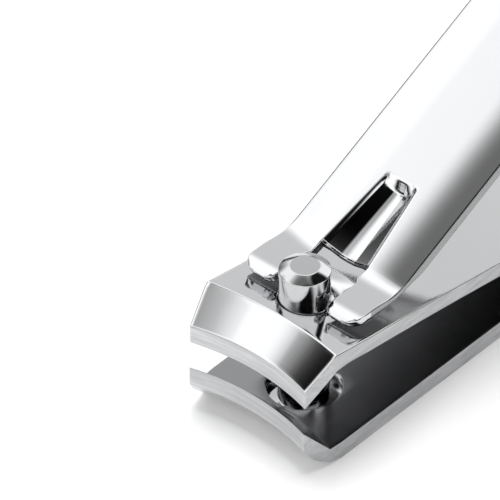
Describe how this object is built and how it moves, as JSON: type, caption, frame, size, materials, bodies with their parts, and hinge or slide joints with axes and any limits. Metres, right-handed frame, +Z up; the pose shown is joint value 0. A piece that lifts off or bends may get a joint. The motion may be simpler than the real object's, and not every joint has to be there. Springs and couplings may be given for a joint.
{
  "type": "nail clipper",
  "caption": "Lever nail clipper: two sprung steel jaws with concave cutting edges, a turned pivot post, a forked lever and a tubular rear rivet.",
  "frame": {"origin": "bottom centre of the bounding box, on the plane of the lower jaw's sole", "axes": "+X from the cutting edges to the rear rivet, +Y across the jaws, +Z up through the jaws to the lever"},
  "size_m": [0.0754, 0.015, 0.0367],
  "materials": {
    "jaw_steel": "mirror polished steel with ground cutting face",
    "post_steel": "polished turned steel",
    "lever_steel": "mirror polished sheet steel",
    "rivet_steel": "satin steel"
  },
  "bodies": {
    "lower_frame": {"lower_jaw": "jaw_steel", "rear_rivet": "rivet_steel"},
    "upper_arm": {"upper_jaw": "jaw_steel"},
    "post": {"pivot_post": "post_steel"},
    "lever_arm": {"lever": "lever_steel"}
  },
  "joints": [
    {"name": "jaw_close", "type": "hinge", "parent": "lower_frame", "child": "upper_arm", "pos_m": [0.0317, 0, 0.00185], "axis": [0, -1, 0], "range_deg": [0, 2.14], "stiffness_Nm_per_rad": 4, "springref_deg": -0.57},
    {"name": "post_swivel", "type": "hinge", "parent": "lower_frame", "child": "post", "pos_m": [-0.03, 0, 0], "axis": [0, 0, 1], "continuous": true},
    {"name": "lever_press", "type": "hinge", "parent": "post", "child": "lever_arm", "pos_m": [-0.0277, 0, 0.01264], "axis": [0, 1, 0], "range_deg": [0, 30.5]}
  ],
  "couplings": [
    {"joint": "lever_press", "follows": "jaw_close", "ratio": 14.019}
  ]
}
